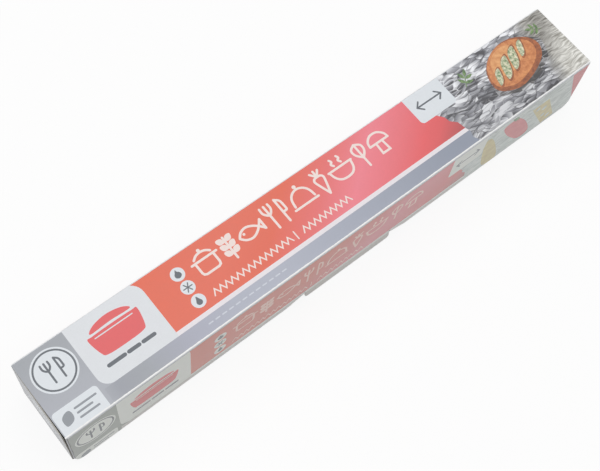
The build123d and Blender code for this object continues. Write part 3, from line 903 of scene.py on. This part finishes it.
def crumpled_foil(dark, middle, light):
    """A printed picture of crumpled foil: long facets that each shade from one side to the other, with dark or bright
    creases between them."""
    def build(tree, place):
        bend = add(tree, "TexNoise", {
            "Vector": place, "W": FOIL_SEED, "Scale": 70.0, "Detail": 2.0}, noise_dimensions="4D").outputs
        bent = vectors(tree, "MULTIPLY_ADD", bend["Color"], (0.007, 0.007, 0.0), place)
        tones = []
        for scale, steep, turn in FACETS:
            long = stretched(tree, bent, (0.45, 1.5, 1.0), turn)
            facet = add(tree, "TexVoronoi", {"Vector": long, "Scale": scale}).outputs
            within = vectors(tree, "SUBTRACT", long, facet["Position"])
            tilt = vectors(tree, "SUBTRACT", facet["Color"], (0.5, 0.5, 0.5))
            own = add(tree, "SeparateColor", {0: facet["Color"]}).outputs[1]
            tones.append(maths(tree, "MULTIPLY_ADD", vectors(tree, "DOT_PRODUCT", within, tilt), steep, own))
        level = between(tree, 0.25, between(tree, 0.55, *tones), bend[0])
        shades = colour_run(tree, level, ((0.22, dark), (0.52, middle), (0.86, light)), 1.0)
        ridge = add(tree, "TexVoronoi", {"Vector": long, "Scale": scale}, feature="DISTANCE_TO_EDGE")
        near = ranged(tree, ridge.outputs["Distance"], 0.0, 0.075, 0.8, 0.0)
        crease = mixed(tree, ranged(tree, bend[0], 0.52, 0.62), dark, light)
        return mixed(tree, near, shades, crease)
    return build


def foil_picture(tree, place):
    """The printed foil on the top: crumpled and darker to the front, then at the right end a smoother sheet with fine
    streaks that cross, dull beside the loaf and bright at its front corner."""
    crumpled = crumpled_foil(ink(62, 62, 68), ink(156, 157, 164), ink(242, 243, 247))(tree, place)
    wide = noise(tree, place, 120.0, 1.0)
    eased = vectors(tree, "MULTIPLY_ADD", wide["Color"], (0.004, 0.004, 0.0), place)
    along, across, _ = coordinates(tree, eased)
    forward = maths(tree, "SUBTRACT", across, TOP_MARGIN * MM)
    shaded = mixed(tree, 1.0, crumpled, ranged(tree, forward, -0.012, 0.014, 1.12, 0.8), "MULTIPLY")
    streaks = []
    for turn in (0.9, -0.2):
        hairs = noise(tree, stretched(tree, eased, (0.12, 1.0, 1.0), turn), 1100.0, 5.0)[0]
        streaks.append(ranged(tree, hairs, 0.36, 0.64))
    streaked = between(tree, ranged(tree, wide[0], 0.44, 0.56), *streaks)
    dull = mixed(tree, streaked, ink(92, 88, 82), ink(192, 190, 184))
    bright = mixed(tree, streaked, ink(160, 157, 148), ink(250, 249, 243))
    corner = maths(tree, "MULTIPLY_ADD", forward, 0.8, along)
    sheet = mixed(tree, ranged(tree, corner, 0.140, 0.152), dull, bright)
    return mixed(tree, ranged(tree, along, 0.13, 0.138), shaded, sheet)


def two_tone(first, second, scale):
    """A printed picture of something natural: two colours that run into each other."""
    def build(tree, place):
        cloud = noise(tree, place, scale, 4.0, 0.65)[0]
        return mixed(tree, ranged(tree, cloud, 0.35, 0.65), ink(*first), ink(*second))
    return build


def red_with_painted_sheen(tree, place):
    """The red field as the flap carries it, greyed by a painted sheen of the varnish, so greyer than on the top."""
    return mixed(tree, 0.16, red_field_and_sheen(FLAP_LEVEL)(tree, place), ink(205, 206, 200))


front_worn = [(1, TOP_RUN, 0.55)]
lid_finishes = {"label": label_board, "dark": dark_board, "inside": board_inside, "edge": board_edge}
# The "dull" finish is the flap's red under a painted sheen.
for label, colour in (
        ("white", WHITE_INK), ("red", red_field_and_sheen(TOP_MARGIN)), ("grey", grey_end), ("band", lilac_band),
        ("foil", foil_picture), ("rose", two_tone((226, 112, 112), (214, 96, 104), 160.0)),
        ("haze", crumpled_foil(ink(192, 202, 197), ink(216, 226, 221), ink(232, 239, 235))),
        ("card", ink(243, 247, 240)), ("dull", red_with_painted_sheen), ("ash", ink(160, 167, 159))):
    lid_finishes[label] = coated("print_" + label, colour, front_worn)
for label, colour in (
        ("line", ink(237, 231, 235)), ("mark", ink(140, 145, 152)), ("faint", ink(206, 210, 220)),
        ("pale", ink(244, 226, 220)), ("buff", ink(252, 214, 200)), ("motif", ink(226, 86, 88)),
        ("strip", ink(220, 218, 212)),
        ("shade", crumpled_foil(ink(56, 54, 55), ink(104, 102, 102), ink(190, 190, 194))),
        ("crust", two_tone((122, 64, 34), (182, 104, 56), 420.0)),
        ("bake", two_tone((190, 108, 58), (224, 152, 94), 420.0)),
        ("glow", two_tone((212, 138, 80), (238, 178, 120), 420.0)),
        ("herb", two_tone((84, 124, 70), (244, 238, 208), 700.0)),
        ("green", two_tone((58, 96, 54), (136, 164, 104), 600.0)),
        ("tan", two_tone((226, 214, 150), (204, 186, 124), 200.0))):
    lid_finishes[label] = coated("print_" + label, colour)
lid = folded_board("lid_board", lid_outline, lid_prints, lid_lines, lid_place, lid_finishes)
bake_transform(lid)
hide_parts("lid_panel", "front_flap")

# The back crease is the score that the lid turns on: the strip of the same board between the back wall and the lid,
# bent over and worn white along its ridge.
crease_outline = [(-DUST_CREASE, 0.0), (DUST_CREASE, 0.0), (HALF_LENGTH, QUARTER), (-HALF_LENGTH, QUARTER)]


def crease_place(x, s):
    """Round the back crease, from the back wall's top to the lid."""
    facing = Vector((0, cos(s / FOLD), sin(s / FOLD)))
    return Vector((x, BACK - FOLD, TOP - FOLD)) + facing * FOLD, facing


crease_steps = [QUARTER * k / FOLD_STEPS for k in range(1, FOLD_STEPS)]
crease_lines = [((-HALF_LENGTH, s), (HALF_LENGTH, s)) for s in crease_steps] + [((0, -1), (0, QUARTER + 1))]
crease_finishes = {
    "white": coated("crease_white", WHITE_INK, [(1, QUARTER / 2, 0.3)]), "inside": board_inside, "edge": board_edge}
crease = folded_board("back_crease", crease_outline, [], crease_lines, crease_place, crease_finishes)
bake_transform(crease)

# The cutter is a strip of tinned steel with a row of saw teeth along its lower edge.
# It is clinched to the flap's inner face by small round nibs that are pressed out of the strip.
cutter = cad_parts["cutter_strip"]
cutter_low, cutter_high = (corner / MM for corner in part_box("cutter_strip"))
NIBS, NIB_RADIUS, NIB_RISE, NIB_INSET, NIB_DROP = 13, 1.1, 0.14, 8.0, 2.6
tinned_steel = rolled_metal("tinned_steel", ink(206, 208, 208), 0.3, (0.02, 1.0, 1.0), 0.2)
cutter.data.materials.clear()
cutter.data.materials.append(tinned_steel)


def nib_tree():
    """A row of low round nibs, pressed out of the strip at an even pitch."""
    tree, given, out = new_group("Geometry", "clinch_nibs", {
        "Count": "Int", "Start": "Vector", "Pitch": "Vector", "Radius": "Float", "Rise": "Float",
        "Material": "Material"}, {"Geometry": "Geometry"})
    row = shaped(tree, "MeshLine", {
        "Count": given["Count"], "Start Location": given["Start"], "Offset": given["Pitch"]})
    nib = shaped(tree, "MeshUVSphere", {"Segments": 16, "Rings": 8, "Radius": 1.0})
    flat = add(tree, "CombineXYZ", {"X": given["Radius"], "Y": given["Rise"], "Z": given["Radius"]})
    placed = shaped(tree, "InstanceOnPoints", {"Points": row, "Instance": nib, "Scale": flat.outputs[0]})
    return end_tree(tree, placed, given, out)


nib_face = cutter_high.y - 0.02 - NIB_DROP * tan(FLAP_LEAN)
nib_pitch = (cutter_high.x - cutter_low.x - 2 * NIB_INSET) / (NIBS - 1)
nibs = realized("cutter_nibs", nib_tree(), {
    "Count": NIBS, "Start": Vector((cutter_low.x + NIB_INSET, nib_face, cutter_high.z - NIB_DROP)) * MM,
    "Pitch": Vector((nib_pitch, 0, 0)) * MM, "Radius": NIB_RADIUS * MM, "Rise": NIB_RISE * MM,
    "Material": tinned_steel}, 60)
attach(nibs, "flap")

# The carton lies on a plain white sheet under one large soft lamp, and is seen from high above its left end.
# The sheet and the room look white to the camera, and light the carton less than they look.
REACH = 4.0
WHITE = (1, 1, 1, 1)
SHEET_GREY = (0.45, 0.45, 0.45, 1)  # the sheet as it lights the carton
SHEET_GLOW = 0.88  # share of the seen sheet that is plain white
SOFTBOX_SIZE, SOFTBOX_WATTS, SOFTBOX_AT = 2.0, 16.0, (-0.1, 0.15, 1.3)
LENS, SENSOR = 62.93, 36.0
floor_mesh = bpy.data.meshes.new("floor")
floor_mesh.from_pydata(
    [(-REACH, -REACH, 0), (REACH, -REACH, 0), (REACH, REACH, 0), (-REACH, REACH, 0)], [], [(0, 1, 2, 3)])
floor = new_piece("floor", floor_mesh)


def looked_at(tree):
    """Two marks: what the camera sees, and what the camera or a shiny surface sees."""
    path = add(tree, "LightPath").outputs
    return path["Is Camera Ray"], maths(tree, "MAXIMUM", path["Is Camera Ray"], path["Is Glossy Ray"])


def white_sheet():
    """Paper that the camera and shiny surfaces see as white, shadow and all, and that gives back less light."""
    material, tree, shader = new_material("white_sheet")
    _, seen = looked_at(tree)
    join(tree, shader, {
        "Base Color": mixed(tree, seen, SHEET_GREY, WHITE), "Roughness": 0.9, "Specular IOR Level": 0.0})
    glow = add(tree, "Emission", {"Color": WHITE, "Strength": 1.0})
    share = maths(tree, "MULTIPLY", seen, SHEET_GLOW)
    shown = add(tree, "MixShader", {0: share, 1: shader.outputs[0], 2: glow.outputs[0]})
    tree.links.new(shown.outputs[0], tree.nodes["Material Output"].inputs["Surface"])
    return material


floor_mesh.materials.append(white_sheet())

world = bpy.data.worlds.new("soft_room")
bpy.context.scene.world = world
world.use_nodes = True
room = world.node_tree
camera_sees, seen = looked_at(room)
dome = room.nodes["Background"]
join(room, dome, {"Color": WHITE, "Strength": 0.32})
height = coordinates(room, add(room, "TexCoord").outputs["Generated"])[2]
walls = ranged(room, height, 0.0, 0.8, 0.25, 1.0)
backdrop = add(room, "Background", {"Color": WHITE, "Strength": maths(room, "MAXIMUM", camera_sees, walls)})
shown = add(room, "MixShader", {0: seen, 1: dome.outputs[0], 2: backdrop.outputs[0]})
room.links.new(shown.outputs[0], room.nodes["World Output"].inputs["Surface"])

softbox_light = bpy.data.lights.new("softbox", "AREA")
softbox_light.size, softbox_light.energy = SOFTBOX_SIZE, SOFTBOX_WATTS
softbox = new_piece("softbox", softbox_light)
softbox.location = SOFTBOX_AT

CAMERA_AT = (-0.17089, -0.129, 0.44239)
RIGHT = Vector((0.7709602, -0.6300252, 0.0932124))
UP = Vector((0.5428303, 0.7265783, 0.4212116))
BACKWARD = Vector((-0.3331, -0.2741389, 0.9021598))
camera_data = bpy.data.cameras.new("camera")
camera_data.sensor_width, camera_data.lens, camera_data.clip_start = SENSOR, LENS, 0.01
camera = new_piece("camera", camera_data)
camera.matrix_world = Matrix.Translation(CAMERA_AT) @ Matrix((RIGHT, UP, BACKWARD)).transposed().to_4x4()
bpy.context.scene.camera = camera
bpy.context.scene.view_settings.view_transform = "Standard"
